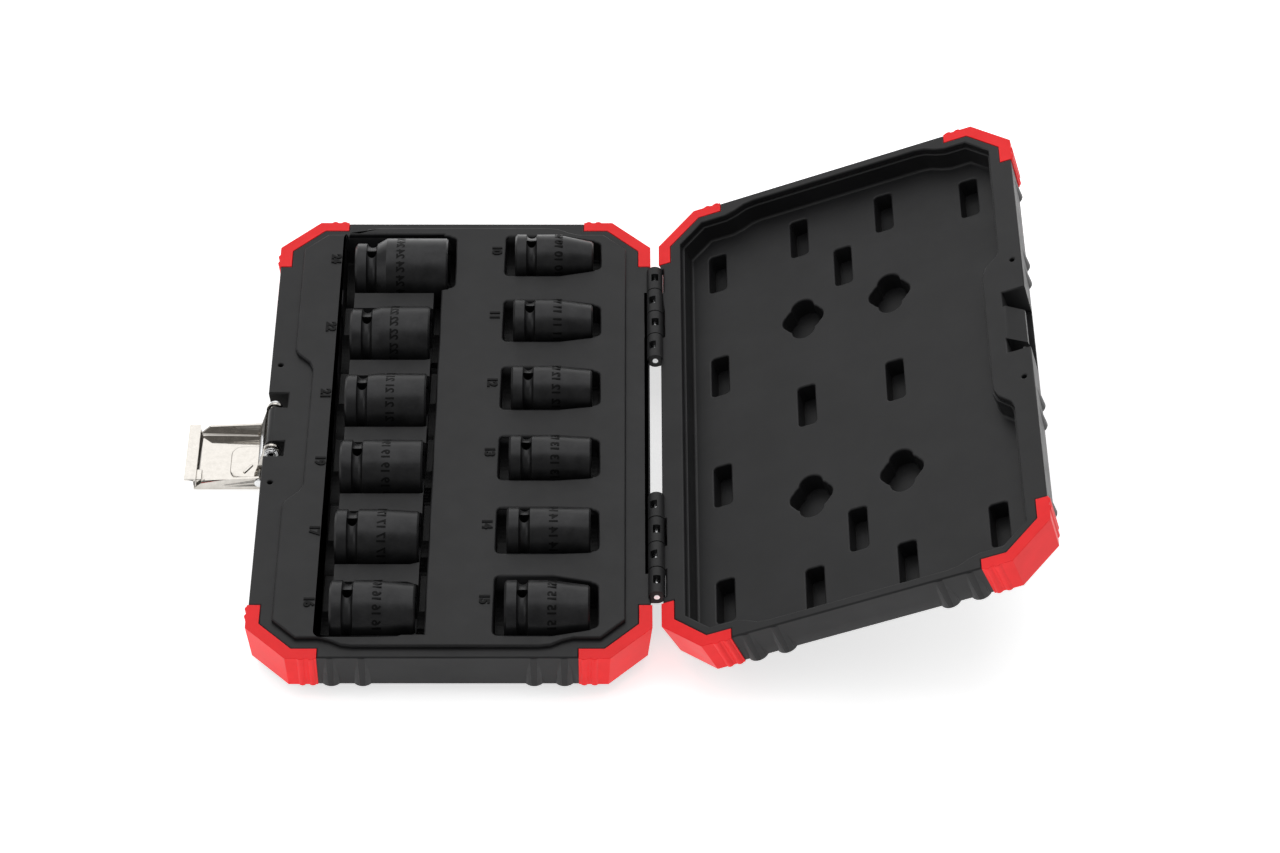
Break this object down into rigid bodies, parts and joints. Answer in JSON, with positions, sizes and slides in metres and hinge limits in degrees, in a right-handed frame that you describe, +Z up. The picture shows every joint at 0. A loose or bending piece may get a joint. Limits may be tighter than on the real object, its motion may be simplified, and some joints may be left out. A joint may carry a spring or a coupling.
{
  "type": "impact socket set in a folding case",
  "caption": "Impact sockets for nuts and bolts, in a hinged black plastic case with red corner bumpers and a metal latch.",
  "frame": {"origin": "centre of the underside of the base half, on the surface that the case stands on", "axes": "+Z up, +X from the latch side of the base towards the hinge and the open lid, Y along the hinge"},
  "size_m": [0.3961, 0.2956, 0.0948],
  "materials": {
    "case_plastic": "satin moulded polyethylene, fine grain",
    "bumper_red": "semi-gloss moulded, soft sheen",
    "latch_nickel": "bright nickel plate on pressed steel",
    "pin_steel": "drawn steel wire",
    "socket_steel": "black phosphated steel, oiled, matt"
  },
  "bodies": {
    "case_base": {"base_shell": "case_plastic", "hinge_pin_back": "pin_steel", "hinge_pin_front": "pin_steel", "latch_rivet": "pin_steel", "base_bumper_back_latch": "bumper_red", "base_bumper_back_hinge": "bumper_red", "base_bumper_front_latch": "bumper_red", "base_bumper_front_hinge": "bumper_red"},
    "lid": {"lid_shell": "case_plastic", "lid_bumper_back_latch": "bumper_red", "lid_bumper_back_hinge": "bumper_red", "lid_bumper_front_latch": "bumper_red", "lid_bumper_front_hinge": "bumper_red"},
    "latch_link": {"latch_link": "latch_nickel", "latch_pin": "pin_steel"},
    "latch_plate": {"latch_plate": "latch_nickel"},
    "socket_10_body": {"socket_10": "socket_steel"},
    "socket_11_body": {"socket_11": "socket_steel"},
    "socket_12_body": {"socket_12": "socket_steel"},
    "socket_13_body": {"socket_13": "socket_steel"},
    "socket_14_body": {"socket_14": "socket_steel"},
    "socket_15_body": {"socket_15": "socket_steel"},
    "socket_16_body": {"socket_16": "socket_steel"},
    "socket_17_body": {"socket_17": "socket_steel"},
    "socket_19_body": {"socket_19": "socket_steel"},
    "socket_21_body": {"socket_21": "socket_steel"},
    "socket_22_body": {"socket_22": "socket_steel"},
    "socket_24_body": {"socket_24": "socket_steel"}
  },
  "joints": [
    {"name": "lid_hinge", "type": "hinge", "parent": "case_base", "child": "lid", "pos_m": [0.0925, 0, 0.026], "axis": [0, 1, 0], "range_deg": [-158, 0]},
    {"name": "latch_link_swing", "type": "hinge", "parent": "case_base", "child": "latch_link", "pos_m": [-0.0865, 0.003, 0.0218], "axis": [0, 1, 0], "range_deg": [-19, 0]},
    {"name": "latch_close", "type": "hinge", "parent": "latch_link", "child": "latch_plate", "pos_m": [-0.09279, 0.003, 0.00599], "axis": [0, -1, 0], "range_deg": [-105, 0]},
    {"name": "socket_10_lift", "type": "slide", "parent": "case_base", "child": "socket_10_body", "axis": [0, 0, 1], "range_m": [0, 0.06]},
    {"name": "socket_11_lift", "type": "slide", "parent": "case_base", "child": "socket_11_body", "axis": [0, 0, 1], "range_m": [0, 0.06]},
    {"name": "socket_12_lift", "type": "slide", "parent": "case_base", "child": "socket_12_body", "axis": [0, 0, 1], "range_m": [0, 0.06]},
    {"name": "socket_13_lift", "type": "slide", "parent": "case_base", "child": "socket_13_body", "axis": [0, 0, 1], "range_m": [0, 0.06]},
    {"name": "socket_14_lift", "type": "slide", "parent": "case_base", "child": "socket_14_body", "axis": [0, 0, 1], "range_m": [0, 0.06]},
    {"name": "socket_15_lift", "type": "slide", "parent": "case_base", "child": "socket_15_body", "axis": [0, 0, 1], "range_m": [0, 0.06]},
    {"name": "socket_16_lift", "type": "slide", "parent": "case_base", "child": "socket_16_body", "axis": [0, 0, 1], "range_m": [0, 0.06]},
    {"name": "socket_17_lift", "type": "slide", "parent": "case_base", "child": "socket_17_body", "axis": [0, 0, 1], "range_m": [0, 0.06]},
    {"name": "socket_19_lift", "type": "slide", "parent": "case_base", "child": "socket_19_body", "axis": [0, 0, 1], "range_m": [0, 0.06]},
    {"name": "socket_21_lift", "type": "slide", "parent": "case_base", "child": "socket_21_body", "axis": [0, 0, 1], "range_m": [0, 0.06]},
    {"name": "socket_22_lift", "type": "slide", "parent": "case_base", "child": "socket_22_body", "axis": [0, 0, 1], "range_m": [0, 0.06]},
    {"name": "socket_24_lift", "type": "slide", "parent": "case_base", "child": "socket_24_body", "axis": [0, 0, 1], "range_m": [0, 0.06]}
  ],
  "couplings": [
    {"joint": "latch_link_swing", "follows": "latch_close", "ratio": 0.18095}
  ]
}
